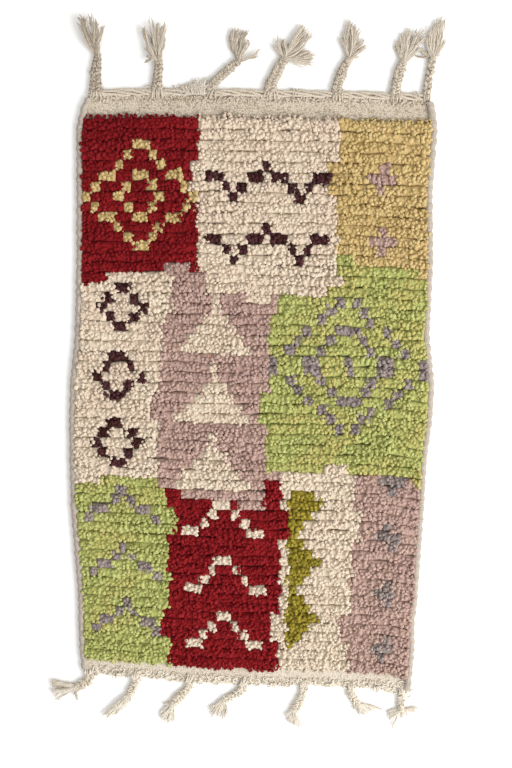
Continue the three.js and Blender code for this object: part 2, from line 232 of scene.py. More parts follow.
# Lit and shaded copies of one undyed wool: painted shade at the upper end and painted light at the lower end
LIT_AND_SHADED_TASSEL_WOOLS = {
    "top": Wool("#87796a", "#cdc1af", "#e6ddd0", "#b3a28a", "warp_wool"),
    "bottom": Wool("#b0a18c", "#e0d6c5", "#eee7dc", "#d4c4a8", "warp_wool"),
}
SELVEDGE_WOOL = Wool("#857a6e", "#c4b8ab", "#dfd6cc", "#b3a28a", "warp_wool")


# A stream of random numbers of its own for each part, so that a change to one leaves the others alone
def stream(name):
    return np.random.default_rng([SEED, *name.encode()])


# Where a wave or a yarn's ply starts
def any_phase(random):
    return random.uniform(0, 6)


# Where on the pattern of the fibres a yarn starts
def any_start(random):
    return random.uniform(0, 9)


# Vectors from their parts, each spread over the others
def vectors(*parts):
    return np.stack(np.broadcast_arrays(*parts), axis=-1)


def lerp(low, high, share):
    return low + (high - low) * share


def smoothstep(share):
    share = np.clip(share, 0, 1)
    return share * share * (3 - 2 * share)


# A smooth random field over the cloth, of about one amount either way, in waves of about one run
FIELD_WAVES = 6
FIELD_RUNS = (0.7, 1.6)


def field(name, x, y, size):
    amount, run = size
    random = stream(name)
    total = 0
    for _ in range(FIELD_WAVES):
        direction = random.uniform(0, TURN)
        turns = TURN / (run * random.uniform(*FIELD_RUNS))
        phase = random.uniform(0, TURN)
        total = total + np.sin(turns * (x * math.cos(direction) + y * math.sin(direction)) + phase)
    return amount * (2 * total / FIELD_WAVES)


# Where shares across and along the cloth lie, between its own uneven edges
def cloth_place(across, along, inset=0.0, lower=0.0, upper=0.0):
    across, along = np.broadcast_arrays(np.asarray(across, float), np.asarray(along, float))
    x = lerp(SIDE_LEFT[0], SIDE_RIGHT[0], across)
    for _ in range(PLACE_PASSES):
        bottom = np.interp(x, END_X, END_BOTTOM) + lower
        top = np.interp(x, END_X, END_TOP) - upper
        y = lerp(bottom, top, along)
        left = np.interp(y, SIDE_Y, SIDE_LEFT) + inset
        right = np.interp(y, SIDE_Y, SIDE_RIGHT) - inset
        x = lerp(left, right, across)
    return x, y


def end_edge(x, end):
    return np.interp(x, END_X, END_TOP if end == "top" else END_BOTTOM)


# Adds a node with its settings, and sets or links its inputs
def add(tree, kind, inputs=None, **settings):
    node = tree.nodes.new(kind)
    for name, value in settings.items():
        setattr(node, name, value)
    for key, value in (inputs or {}).items():
        if isinstance(value, bpy.types.NodeSocket):
            tree.links.new(value, node.inputs[key])
        else:
            node.inputs[key].default_value = value
    return node


def linear(value):
    return value / 12.92 if value <= 0.04045 else ((value + 0.055) / 1.055) ** 2.4


# An sRGB hex colour as Blender's linear one
def colour(code):
    return (*(linear(int(code[place:place + 2], 16) / 255) for place in (1, 3, 5)), 1.0)


# A wool's colours, from dark with painted shade to pale with painted light, each at its place on a ramp
def wool_ramp(tree, tone, places, wool):
    node = add(tree, "ShaderNodeValToRGB", {"Fac": tone})
    elements = node.color_ramp.elements
    elements.new(0.5)
    for element, place, code in zip(elements, places, (wool.deep, wool.main, wool.worn)):
        element.position = place
        element.color = colour(code)
    return node.outputs["Color"]


def attribute(tree, name, output="Fac"):
    return add(tree, "ShaderNodeAttribute", attribute_name=name).outputs[output]


def maths(tree, operation, first, second):
    return add(tree, "ShaderNodeMath", {0: first, 1: second}, operation=operation).outputs[0]


def plus_share(tree, total, value, share):
    return maths(tree, "ADD", total, maths(tree, "MULTIPLY", value, share))


def stretched(tree, vector, scales):
    return add(tree, "ShaderNodeVectorMath", {0: vector, 1: scales}, operation="MULTIPLY").outputs[0]


def noise(tree, vector, scale, detail):
    inputs = {"Vector": vector, "Scale": scale, "Detail": detail}
    return add(tree, "ShaderNodeTexNoise", inputs).outputs["Fac"]


# How far a place is from the middle of its cell
def cells(tree, vector, scale, randomness=1.0):
    inputs = {"Vector": vector, "Scale": scale, "Randomness": randomness}
    return add(tree, "ShaderNodeTexVoronoi", inputs, feature="F1").outputs["Distance"]


def empty_material(name):
    material = bpy.data.materials.new(name)
    material.use_nodes = True
    material.node_tree.nodes.clear()
    return material, material.node_tree


# The dry and slightly furry surface of all wool
WOOL_SURFACE = {"Roughness": 0.95, "Sheen Weight": 0.2, "Sheen Roughness": 0.5}


def finish_wool(tree, relief, bump, inputs):
    strength, distance = bump
    raised = add(tree, "ShaderNodeBump", {"Height": relief, "Strength": strength, "Distance": distance})
    inputs = {**WOOL_SURFACE, **inputs, "Normal": raised.outputs["Normal"]}
    shader = add(tree, "ShaderNodeBsdfPrincipled", inputs)
    add(tree, "ShaderNodeOutputMaterial", {"Surface": shader.outputs["BSDF"]})


# Wool yarn: dyed unevenly, with lumps and fine fibres along the yarn, and painted shade deep in the pile and
# painted light towards the tips.
# Light passes a little way into loose undyed yarn.
FIBRE_STRETCH = (0.3, 1, 1)
FIBRE_SCALE = 1500.0
FIBRE_DETAIL = 3.0
LUMP_SLANT = (0, 0, 0.8)
LUMP_STRETCH = (1.5, 0.8, 1)
LUMP_SCALE = 430.0
LUMP_RISE = 0.95
PATCH_SCALE = 9.0
PATCH_DETAIL = 2.0
RELIEF_TONE = 0.21
POINT_TONES = {"lot": 0.09, "shade": 0.09}
MIDDLE_HEIGHT = 0.55
HEIGHT_PAINTED_LIGHT = 0.32
WOOL_PLACES = (0.0, 0.42, 1.0)
WOOL_BUMP = (0.6, 0.0010)
WOOL_GLOSS = 0.12
SCATTER_RADIUS = (1.0, 0.95, 0.88)
SCATTER_SCALE = 0.0012
LOOSE_SOFTNESS = 0.4


def wool_material(name, wool, softness=0.0):
    material, tree = empty_material(name)
    fibre = stretched(tree, attribute(tree, "fibre", "Vector"), FIBRE_STRETCH)
    place = add(tree, "ShaderNodeTexCoord").outputs["Object"]
    slanted = add(tree, "ShaderNodeMapping", {"Vector": place, "Rotation": LUMP_SLANT, "Scale": LUMP_STRETCH})
    lumps = maths(tree, "SUBTRACT", LUMP_RISE, cells(tree, slanted.outputs[0], LUMP_SCALE))
    relief = maths(tree, "ADD", noise(tree, fibre, FIBRE_SCALE, FIBRE_DETAIL), lumps)
    tone = maths(tree, "MULTIPLY", relief, RELIEF_TONE)
    for value, share in POINT_TONES.items():
        tone = plus_share(tree, tone, attribute(tree, value), share)
    # Painted shade low in the pile and painted light towards the tips, by the height that each point keeps
    height = maths(tree, "SUBTRACT", attribute(tree, "height"), MIDDLE_HEIGHT)
    dyed = wool_ramp(tree, plus_share(tree, tone, height, HEIGHT_PAINTED_LIGHT), WOOL_PLACES, wool)
    patches = noise(tree, place, PATCH_SCALE, PATCH_DETAIL)
    tinting = maths(tree, "MULTIPLY", attribute(tree, "tint"), patches)
    tinted = add(tree, "ShaderNodeMix", {0: tinting, 6: dyed, 7: colour(wool.tint)}, data_type="RGBA")
    finish_wool(tree, relief, WOOL_BUMP, {
        "Base Color": tinted.outputs[2],
        "Specular IOR Level": WOOL_GLOSS,
        "Sheen Tint": colour(wool.worn),
        "Subsurface Weight": softness,
        "Subsurface Radius": SCATTER_RADIUS,
        "Subsurface Scale": SCATTER_SCALE,
    })
    return material


# Flat-woven wool cloth: lumps where each weft passes over a warp, and fibres, in colour and relief
WEAVE_RANDOMNESS = 0.8
THREAD_STRETCH = (1.5, 3.0, 1)
THREAD_RELIEF = 1.5
WEAVE_TONE = 0.8
WEAVE_PLACES = (0.0, 0.5, 1.0)
WEAVE_BUMP = (0.9, 0.0012)
WEAVE_GLOSS = 0.15


def weave_material(name, wool):
    material, tree = empty_material(name)
    weave = attribute(tree, "weave", "Vector")
    hollow = maths(tree, "MULTIPLY", cells(tree, weave, 1.0, WEAVE_RANDOMNESS), -1.0)
    threads = noise(tree, stretched(tree, weave, THREAD_STRETCH), 1.0, FIBRE_DETAIL)
    relief = plus_share(tree, hollow, threads, THREAD_RELIEF)
    tone = plus_share(tree, attribute(tree, "shade"), relief, WEAVE_TONE)
    dyed = wool_ramp(tree, tone, WEAVE_PLACES, wool)
    finish_wool(tree, relief, WEAVE_BUMP, {"Base Color": dyed, "Specular IOR Level": WEAVE_GLOSS})
    return material


def put_in_scene(name, data):
    obj = bpy.data.objects.new(name, data)
    bpy.context.scene.collection.objects.link(obj)
    return obj


# Puts a finished mesh in the scene as a piece of the rug
def piece(name, mesh, material, replaced=()):
    mesh.materials.clear()
    mesh.materials.append(material)
    obj = put_in_scene(name, mesh)
    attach(obj, BODY)
    if replaced:
        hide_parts(*replaced)
    return obj


# A smooth-shaded mesh with values kept at its points
def mesh_of(name, points, faces, **values):
    mesh = bpy.data.meshes.new(name)
    mesh.from_pydata(np.asarray(points).tolist(), [], faces)
    mesh.polygons.foreach_set("use_smooth", np.ones(len(mesh.polygons), bool))
    for value_name, value in values.items():
        value = np.asarray(value, float)
        is_vector = value.ndim == 2
        layer = mesh.attributes.new(value_name, "FLOAT_VECTOR" if is_vector else "FLOAT", "POINT")
        layer.data.foreach_set("vector" if is_vector else "value", value.ravel())
    mesh.update()
    return mesh


# Directions across a path at each of its points, which turn no more than the path does
LEAST_SIDE = 0.1


def path_frames(path):
    tangents = np.gradient(path, axis=0)
    tangents /= np.linalg.norm(tangents, axis=1)[:, None]
    side = np.cross(tangents[0], (0, 0, 1))
    if np.linalg.norm(side) < LEAST_SIDE:
        side = np.array([1.0, 0, 0])
    sides = []
    for tangent in tangents:
        side = side - tangent * np.dot(side, tangent)
        side = side / np.linalg.norm(side)
        sides.append(side)
    sides = np.array(sides)
    return sides, np.cross(tangents, sides)


LEAST_HEIGHT = 0.0002
PLY_BULGE = 0.2


# Tubes of yarn gathered into one mesh, flattened where they rest on the floor.
# Each point keeps its place in the straightened yarn.
class Yarns:
    def __init__(self):
        self.points = []
        self.fibres = []
        self.painted_lights = []
        self.shades = []
        self.faces = []
        self.count = 0

    # Adds a yarn along a path. Its ply turns once in a pitch.
    def add(self, path, radius, sides, pitch, phase=0.0, shade=0.0, painted_lights=1.0, start=0.0):
        side, up = path_frames(path)
        steps = np.linalg.norm(np.diff(path, axis=0), axis=1)
        along = np.concatenate([[0], np.cumsum(steps)])[:, None]
        angle = TURN * np.arange(sides) / sides
        turn = TURN * along / pitch + phase
        radius = np.broadcast_to(radius, len(path))[:, None]
        reach = radius * (1 + PLY_BULGE * np.cos(2 * (angle - turn)))
        right = (reach * np.cos(angle))[..., None] * side[:, None]
        above = (reach * np.sin(angle))[..., None] * up[:, None]
        spun = vectors(along + start, reach * np.cos(angle - turn), reach * np.sin(angle - turn))
        # The painted light and shade of each ring, kept at its points as their height
        painted_lights = np.broadcast_to(painted_lights, len(path))[:, None]
        self.add_rings(path[:, None] + right + above, spun, painted_lights, shade)

    # Adds a tube from its rings of points, with what each point keeps
    def add_rings(self, points, fibres, painted_lights, shades):
        rings, sides = points.shape[:2]
        self.points.append(points.reshape(-1, 3))
        self.fibres.append(fibres.reshape(-1, 3))
        self.painted_lights.append(np.broadcast_to(painted_lights, (rings, sides)).ravel())
        self.shades.append(np.broadcast_to(shades, (rings, sides)).ravel())
        first = self.count
        for low in range(first, first + (rings - 1) * sides, sides):
            for corner in range(sides):
                beside = (corner + 1) % sides
                self.faces.append((low + corner, low + beside, low + sides + beside, low + sides + corner))
        last = first + (rings - 1) * sides
        self.faces.append(tuple(range(first + sides - 1, first - 1, -1)))
        self.faces.append(tuple(range(last, last + sides)))
        self.count += rings * sides

    def mesh(self, name):
        points = np.concatenate(self.points)
        points[:, 2] = np.maximum(points[:, 2], LEAST_HEIGHT)
        return mesh_of(name, points, self.faces, fibre=np.concatenate(self.fibres),
                       height=np.concatenate(self.painted_lights), shade=np.concatenate(self.shades))


# The woven ground: a thin closed cloth with a rib for each weft in the two bands, and small gaps along each
# painted as dark spots of shade
RIB_PITCH = 0.0027
WARP_PITCH = 0.0034
RIB_HEIGHT = 0.0005
RIB_SAMPLES = 3
RIB_WANDER = (0.25, 0.09)
GROUND_COLUMNS = 170
GROUND_PILE_STEPS = 26
GROUND_INSET = 0.003
GROUND_TOP = 0.0030
GROUND_UNDERSIDE = 0.0004
GROUND_LUMPS = (0.0003, 0.03)
GROUND_SHADE = 0.31
GROUND_SHADES = (0.07, 0.05)
SIDE_COLUMNS = 4
GAP_LINE = 0.0055
GAP_SHARE = 0.3
GAP_PAINTED_SHADE = 0.3
UNDER_PILE_PAINTED_SHADE = 0.6
LOWER_BAND_PAINTED_LIGHT = 0.22


def ground_mesh():
    across = np.linspace(0, 1, GROUND_COLUMNS + 1)
    step = RIB_PITCH / RIB_SAMPLES
    lower = [(0.0, offset, 0.0, offset) for offset in np.arange(0, LOWER_BAND, step)]
    under = [(share, LOWER_BAND, UPPER_BAND, LOWER_BAND + share * RIB_PITCH / 2)
             for share in np.linspace(0, 1, GROUND_PILE_STEPS)]
    upper = [(1.0, 0.0, offset, offset) for offset in np.arange(0, UPPER_BAND, step)[::-1]]
    rows = [(*cloth_place(across, share, GROUND_INSET, low, high), np.full_like(across, offset))
            for share, low, high, offset in lower + under + upper]
    x, y, offset = (np.array(part) for part in zip(*rows))
    ribs = np.abs(np.sin(math.pi * (offset / RIB_PITCH + field("rib wander", x, y, RIB_WANDER))))
    z = GROUND_TOP + RIB_HEIGHT * ribs + field("ground lumps", x, y, GROUND_LUMPS)
    shade = GROUND_SHADE + field("ground shade", x, y, GROUND_SHADES)
    # Painted light: the lower band is paler, as the light is brighter towards the lower end
    shade[:len(lower)] += LOWER_BAND_PAINTED_LIGHT
    in_pile = slice(len(lower) + 2, len(lower) + GROUND_PILE_STEPS - 2)
    # Painted shade on the ground under the pile, where it shows between the rows
    shade[in_pile, SIDE_COLUMNS:-SIDE_COLUMNS] -= UNDER_PILE_PAINTED_SHADE
    # Painted shade: dark spots where the weave has small gaps
    gaps = (np.abs(offset - GAP_LINE) < GAP_LINE / 3) & (stream("gaps").random(x.shape) < GAP_SHARE)
    gaps[in_pile] = False
    shade -= GAP_PAINTED_SHADE * gaps
    return closed_cloth("ground", x, y, z, shade, vectors(x / WARP_PITCH, offset / RIB_PITCH, 0.0))


# A cloth from its grid of top points, with a rim and a flat underside
def closed_cloth(name, x, y, z, shade, weave):
    height, width = x.shape
    at = np.arange(height * width).reshape(height, width)
    corners = (at[:-1, :-1], at[:-1, 1:], at[1:, 1:], at[1:, :-1])
    faces = np.stack([c.ravel() for c in corners], axis=1).tolist()
    rim = [*at[0, :-1], *at[:-1, -1], *at[-1, :0:-1], *at[:0:-1, 0]]
    points = vectors(x, y, z).reshape(-1, 3)
    under = points[rim].copy()
    under[:, 2] = GROUND_UNDERSIDE
    start = len(points)
    count = len(rim)
    for place in range(count):
        beside = (place + 1) % count
        faces.append((rim[beside], rim[place], start + place, start + beside))
    faces.append(tuple(range(start + count - 1, start - 1, -1)))
    weave = weave.reshape(-1, 3)
    return mesh_of(name, np.concatenate([points, under]), faces,
                   shade=np.concatenate([shade.ravel(), np.zeros(count)]),
                   weave=np.concatenate([weave, weave[rim]]))


# A selvedge: a flattened cord of warps along a side, wrapped round and round by the wefts
SELVEDGE_INSET = 0.0062
SELVEDGE_END_INSET = 0.001
SELVEDGE_HALF_WIDTH = 0.0058
SELVEDGE_HALF_HEIGHT = 0.0046
SELVEDGE_MIDDLE = 1.18
SELVEDGE_SCALLOP = 0.0007
SELVEDGE_PITCH = 0.0031
SELVEDGE_STEP = 0.00085
SELVEDGE_SIDES = 9
SCALLOP_WANDER = (2, 0.1)
WRAP_DRIFT = 0.03
WRAP_LUMPS = (0.08, 0.017)
WRAP_SWELL = (0.93, 0.11)
WRAP_LIGHT = (0.66, 0.26)
WRAP_OUTER_PAINTED_SHADE = 0.3
WRAP_SHADES = 0.4
WRAP_FIBRE_RUN = 0.02


def selvedge_mesh(name, is_left):
    random = stream(name)
    along = np.arange(0, 1.0001, SELVEDGE_STEP)
    x, y = cloth_place(0.0 if is_left else 1.0, along, SELVEDGE_INSET, SELVEDGE_END_INSET, SELVEDGE_END_INSET)
    x = x + SELVEDGE_SCALLOP * np.sin(TURN * y / ROW_PITCH + field("scallops", x, y, SCALLOP_WANDER))
    angle = TURN * np.arange(SELVEDGE_SIDES) / SELVEDGE_SIDES
    drift = np.cumsum(random.normal(0, WRAP_DRIFT, len(along)))
    turns = (along / SELVEDGE_PITCH + drift)[:, None] + angle / TURN
    ridge = np.abs(np.sin(math.pi * turns))
    lump = 1 + field(name, along, 0, WRAP_LUMPS)[:, None]
    swell = lump * (WRAP_SWELL[0] + WRAP_SWELL[1] * ridge)
    points = vectors(x[:, None] + SELVEDGE_HALF_WIDTH * swell * np.cos(angle), y[:, None],
                     SELVEDGE_HALF_HEIGHT * (SELVEDGE_MIDDLE + swell * np.sin(angle)))
    spun = vectors(turns * WRAP_FIBRE_RUN, SELVEDGE_HALF_WIDTH * np.cos(angle), along[:, None])
    # Painted light on the ridges of the wraps, and painted shade on each selvedge's outer face
    outer = np.maximum(np.cos(angle) * (-1 if is_left else 1), 0)
    painted_lights = WRAP_LIGHT[0] + WRAP_LIGHT[1] * ridge - WRAP_OUTER_PAINTED_SHADE * outer
    yarns = Yarns()
    yarns.add_rings(points, spun, painted_lights, random.normal(0, WRAP_SHADES, len(along))[:, None])
    yarns.faces = [face[::-1] for face in yarns.faces]
    return yarns.mesh(name)


# The heart of a row of pile: the packed wool under its nubs. Places on its section run across the row, as
# shares of half its pitch, with heights as shares of the highest. Each place has lumps of its own.
HEART_TOP = 0.0130
HEART_SECTION = np.array([(-1.15, 0.55), (-0.73, 0.82), (0.0, 0.97), (0.73, 0.82), (1.15, 0.55), (0.0, 0.16)])
HEART_LUMPS = np.array([0.14, 0.08, 0.06, 0.08, 0.14, 0.0])
HEART_SINK = 0.84
HEART_END_JITTER = 0.0035
HEART_REACH_LUMPS = 0.25
HEART_LIGHT = (0.52, 0.30)
HEART_SHADES = 0.4


def heart_height(distance):
    upper = HEART_SECTION[:-1]
    return HEART_TOP * np.interp(distance / (ROW_PITCH / 2), upper[:, 0], upper[:, 1])


# One yarn end of a knot: its untwisted strands stand out of the heart of the row as rounded nubs.
# Each layout lists its nubs' places along the row and across it.
TUFT_VARIANTS = 24
Nub = namedtuple("Nub", "x y radius")
NUB_LAYOUTS = [
    [Nub(-0.0004, -0.0042, 0.0043), Nub(0.0006, 0.0036, 0.0043)],
    [Nub(0.0006, -0.0046, 0.0040), Nub(-0.0019, 0.0014, 0.0035), Nub(0.0018, 0.0046, 0.0036)],
    [Nub(-0.0016, -0.0050, 0.0035), Nub(0.0018, -0.0014, 0.0036), Nub(-0.0004, 0.0048, 0.0039)],
    [Nub(0.0010, -0.0054, 0.0035), Nub(-0.0012, -0.0002, 0.0037), Nub(0.0008, 0.0050, 0.0036)],
    [Nub(-0.0020, -0.0056, 0.0031), Nub(0.0018, -0.0028, 0.0032), Nub(-0.0020, 0.0012, 0.0032),
     Nub(0.0012, 0.0050, 0.0034)],
]
NUB_SHIFT = (0.0011, 0.0010)
NUB_REACH = 0.99
NUB_TILT = 0.45
NUB_SPLAY = 40
NUB_SIZES = (0.80, 1.12)
NUB_STRETCH = (0.9, 1.25)
NUB_PITCH = 0.02
NUB_STATIONS = np.array([-1.2, -0.1, 0.36, 0.58])
NUB_THICKNESS = np.array([0.74, 1.0, 0.86, 0.46])
# Each nub is painted darker at its foot and lighter at its top, as shade and light
NUB_PAINTED_LIGHTS = np.array([0.50, 0.80, 1.0, 1.02])
NUB_SIDES = 5
NUB_FOOT = 0.0065
NUB_CRUMPLE = 0.0004
NUB_SINK = 0.22


def tuft_mesh(name, random):
    yarns = Yarns()
    for nub in NUB_LAYOUTS[random.integers(len(NUB_LAYOUTS))]:
        x, y = np.array([nub.x, nub.y * NUB_REACH]) + random.normal(0, NUB_SHIFT)
        radius = nub.radius * random.uniform(*NUB_SIZES)
        lean = random.normal(0, NUB_TILT, 2)
        axis = np.array([lean[0], lean[1] + NUB_SPLAY * y, 1.0])
        axis /= np.linalg.norm(axis)
        centre = np.array([x, y, heart_height(y) - NUB_SINK * radius])
        path = centre + NUB_STATIONS[:, None] * radius * random.uniform(*NUB_STRETCH) * axis
        path[:, 2] = np.maximum(path[:, 2], NUB_FOOT)
        yarns.add(path, radius * NUB_THICKNESS, NUB_SIDES, NUB_PITCH, any_phase(random), random.normal(0, 1),
                  NUB_PAINTED_LIGHTS, any_start(random))
    yarns.points = [points + random.normal(0, NUB_CRUMPLE, points.shape) for points in yarns.points]
    return yarns.mesh(name)


# Adds the heart of a row from one yarn end to another
def add_heart(yarns, row, first_end, last_end, random):
    across = np.arange(first_end, last_end + 1) / ENDS
    jitter = stream(f"heart ends {row}").normal(0, HEART_END_JITTER, ENDS + 1)
    jitter[[0, -1]] = 0
    x, y = row_place(row, across + jitter[first_end:last_end + 1], 0.5)
    lumps = 1 + HEART_LUMPS * random.normal(0, 1, (len(x), len(HEART_SECTION)))
    reach = HEART_SECTION[:, 0] * (1 - HEART_REACH_LUMPS + HEART_REACH_LUMPS * lumps) * ROW_PITCH / 2
    level = HEART_SECTION[:, 1] * lumps * HEART_TOP * HEART_SINK
    points = vectors(x[:, None], y[:, None] + reach, level)
    # Painted shade: the lower places of the section are darker, as shade in the creases between rows
    painted_lights = HEART_LIGHT[0] + HEART_LIGHT[1] * HEART_SECTION[:, 1]
    yarns.add_rings(points, points[..., [1, 0, 2]], painted_lights, random.normal(0, HEART_SHADES, reach.shape))


# A geometry-nodes tree that stands a tuft on each knot's end, picked from the variants and turned its own way
def tuft_tree():
    tree = bpy.data.node_groups.new("tufts on a row of knots", "GeometryNodeTree")
    for name, kind in (("Geometry", "Geometry"), ("Tufts", "Collection"), ("Wool", "Material")):
        tree.interface.new_socket(name, in_out="INPUT", socket_type=f"NodeSocket{kind}")
    tree.interface.new_socket("Geometry", in_out="OUTPUT", socket_type="NodeSocketGeometry")
    given = add(tree, "NodeGroupInput").outputs

    def named(name):
        node = add(tree, "GeometryNodeInputNamedAttribute", {"Name": name}, data_type="FLOAT")
        return node.outputs["Attribute"]

    tufts = add(tree, "GeometryNodeCollectionInfo", {
        "Collection": given["Tufts"], "Separate Children": True, "Reset Children": True})
    pick = add(tree, "FunctionNodeRandomValue", {4: 0, 5: TUFT_VARIANTS - 1, "Seed": SEED}, data_type="INT")
    turn = add(tree, "ShaderNodeCombineXYZ", {"X": named("slope"), "Y": named("sway"), "Z": named("bearing")})
    placed = add(tree, "GeometryNodeInstanceOnPoints", {
        "Points": given["Geometry"], "Instance": tufts.outputs[0], "Pick Instance": True,
        "Instance Index": pick.outputs[2], "Rotation": turn.outputs[0], "Scale": named("size")})
    real = add(tree, "GeometryNodeRealizeInstances", {"Geometry": placed.outputs[0]})
    dressed = add(tree, "GeometryNodeSetMaterial", {"Geometry": real.outputs[0], "Material": given["Wool"]})
    add(tree, "NodeGroupOutput", {"Geometry": dressed.outputs[0]})
    return tree


# The figures: whether each has a knot, counted from the lower left corner of its block
FIGURE_REPEAT = 6
FIGURE_SLANT = 0.75


def off_middle(place, count):
    return abs(place - (count - 1) / 2)


def lozenge_reach(i, j, width, height):
    return off_middle(i, width) * FIGURE_SLANT + off_middle(j, height)


def chevrons(i, j, width, height):
    slant = j + round(0.8 * off_middle(i, width))
    return slant % FIGURE_REPEAT == 0 and 1 <= i <= width - 2 and 2 <= j <= height - 3


def arrowheads(i, j, width, height):
    reach = off_middle(i, width)
    slant = j + round(FIGURE_SLANT * reach)
    return reach <= 5 and slant % FIGURE_REPEAT == 5 and 2 <= j <= height - 3


def sawtooth(i, j, width, height):
    return 2 <= j <= height - 4 and 1 <= i <= 1 + abs((j + 1) % FIGURE_REPEAT - 3)


def crosses(i, j, width, height):
    row = abs((j + 1) % FIGURE_REPEAT - 3)
    return abs(i - width // 2) + row <= 1 and 1 <= j <= height - 2


def lozenge_chain(i, j, width, height):
    reach = off_middle(i, width) * FIGURE_SLANT + abs(j % 7 - 3)
    return 1.4 <= reach < 2.6 and j < height - 1


def triangles(i, j, width, height):
    return off_middle(i, width) <= 4.6 - (j - 1) % 7 * 0.9 and 1 <= j <= height - 2


def nested_lozenge(*place):
    reach = lozenge_reach(*place)
    return 6.6 <= reach < 7.5 or 3.4 <= reach < 4.3 or reach < 1.1


def stepped_lozenge(*place):
    reach = lozenge_reach(*place)
    return 4.5 <= reach < 5.4 or 1.6 <= reach < 2.5


def waves(i, j, width, height):
    rise = round(abs(i % 8 - 4) * FIGURE_SLANT)
    return 1 <= i <= width - 2 and j - rise in (3, 9)


FIGURES = {figure.__name__: figure for figure in (
    chevrons, arrowheads, sawtooth, crosses, lozenge_chain, triangles, nested_lozenge, stepped_lozenge, waves,
)}

# How borders wander, by a knot here and there
BORDER_DRIFT = 0.55
ROW_BORDER_WAVE = (0.31, 1.3)
KNOT_BORDER_WAVE = (0.27, 0.6)


def drifted(place, other, wave, count):
    turn, phase = wave
    return min(max(place + 0.5 + BORDER_DRIFT * math.sin(turn * other + phase), 0), count - 0.5)


# The wool of a knot: its block's own, or that of the block's figure
def wool_at(row, knot):
    drifted_row = drifted(row, knot, ROW_BORDER_WAVE, ROWS)
    drifted_knot = drifted(knot, row, KNOT_BORDER_WAVE, KNOTS)
    for block in BLOCKS:
        in_rows = block.first_row <= drifted_row < block.end_row
        if in_rows and block.first_knot <= drifted_knot < block.end_knot:
            break
    width = block.end_knot - block.first_knot
    height = block.end_row - block.first_row
    figure = FIGURES[block.figure]
    if figure(knot - block.first_knot, row - block.first_row, width, height):
        return block.figure_wool
    return block.wool


# Where shares across a row and along it lie. The rows run in shallow waves, and each wanders its own way.
ROW_WANDER = (0.0013, 0.065)
ROW_WANDER_STRETCH = 4


def row_place(row, across, place):
    lower = LOWER_BAND + LOWER_BAND_WIDENS * across
    x, y = cloth_place(across, (row + place) / ROWS, PILE_INSET, lower, UPPER_BAND)
    wave = ROW_WAVE * np.sin(x / ROW_WAVE_RUN + ROW_WAVE_TURN * row) * np.sin(math.pi * row / ROWS)
    return x, y + wave + field("row wander", x, y * ROW_WANDER_STRETCH, ROW_WANDER)


# How each value of a knot's end varies about its middle: by a field, squeezed across and along the cloth,
# and by a draw of its own
Varied = namedtuple("Varied", "middle field stretch size spread")
END_VALUES = {
    "bearing": Varied(math.radians(7), "lay", (1, 1), (0.2, 0.16), 0.2),
    "slope": Varied(0, "slope", (1, 1), (0.03, 0.12), 0.05),
    "sway": Varied(0, "sway", (1, 1), (0, 1), 0.06),
    "size": Varied(1, "growth", (1, 1), (0.05, 0.14), 0.05),
    "lot": Varied(0, "dye lots", (0.15, 1), (0.55, 0.05), 0.5),
    "tint": Varied(0.45, "tints", (1, 1.6), (0.7, 0.11), 0.14),
}
TINT_MOST = 0.9
END_JITTER = 0.0012
END_JITTER_ALONG = 1.5
END_DRIFT = (0.7, 0.06)
END_PITCH = 0.007
STEADY_ENDS = 5
EDGE_TUCK = 0.0006
EDGE_LOOSENESS = 0.6
OUTER_SLOPE = 0.9
OUTER_SMALLER = 0.6


# The ends of all knots: where each stands and how, with its wool
def knot_ends():
    random = stream("knot ends")
    levels = [*range(ROWS), *OUTER_ROWS]
    level, end = (part.ravel() for part in np.meshgrid(levels, np.arange(ENDS), indexing="ij"))
    row = np.clip(level.round().astype(int), 0, ROWS - 1)
    freedom = smoothstep(np.minimum(end, ENDS - 1 - end) / STEADY_ENDS)
    drift = field("end drift", end * END_PITCH, level, END_DRIFT) * freedom
    x, y = row_place(row, (end + 0.5 + drift) / ENDS, 0.5 + level - row)
    inward = np.select([end == 0, end == ENDS - 1], [1, -1], 0)
    ends = {
        "x": x + random.normal(0, END_JITTER, len(row)) - EDGE_TUCK * inward,
        "y": y + END_JITTER_ALONG * random.normal(0, END_JITTER, len(row)),
    }
    for name, value in END_VALUES.items():
        swell = field(value.field, x * value.stretch[0], y * value.stretch[1], value.size)
        ends[name] = value.middle + swell + random.normal(0, value.spread, len(row))
    for name in ("bearing", "sway"):
        ends[name] *= np.where(inward == 0, 1.0, EDGE_LOOSENESS)
    outer = level - row
    ends["slope"] -= OUTER_SLOPE * outer
    ends["size"] -= OUTER_SMALLER * abs(outer)
    ends["tint"] = np.clip(ends["tint"] + y, 0, TINT_MOST)
    wools = np.array([wool_at(r, e // 2) for r, e in zip(row, end)])
    return ends, wools


def tuft_collection():
    random = stream("tufts")
    collection = bpy.data.collections.new("tufts")
    for variant in range(TUFT_VARIANTS):
        name = f"tuft_{variant + 1}"
        collection.objects.link(bpy.data.objects.new(name, tuft_mesh(name, random)))
    return collection


# Runs the tree on the ends of one wool and keeps the result as a plain mesh
def pile_mesh(name, tree, tufts, material, ends, chosen):
    points = vectors(ends["x"][chosen], ends["y"][chosen], 0.0)
    values = {key: ends[key][chosen] for key in END_VALUES}
    knots = put_in_scene(name, mesh_of(name, points, [], **values))
    modifier = knots.modifiers.new("tufts", "NODES")
    modifier.node_group = tree
    given = {"Tufts": tufts, "Wool": material}
    for item in tree.interface.items_tree:
        if item.in_out == "INPUT" and item.name in given:
            modifier[item.identifier] = given[item.name]
    graph = bpy.context.evaluated_depsgraph_get()
    dressed = knots.evaluated_get(graph)
    mesh = bpy.data.meshes.new_from_object(dressed, preserve_all_data_layers=True, depsgraph=graph)
    bpy.data.objects.remove(knots)
    for vertex in mesh.vertices:
        vertex.co.z = max(vertex.co.z, LEAST_HEIGHT)
    mesh.name = name
    return mesh


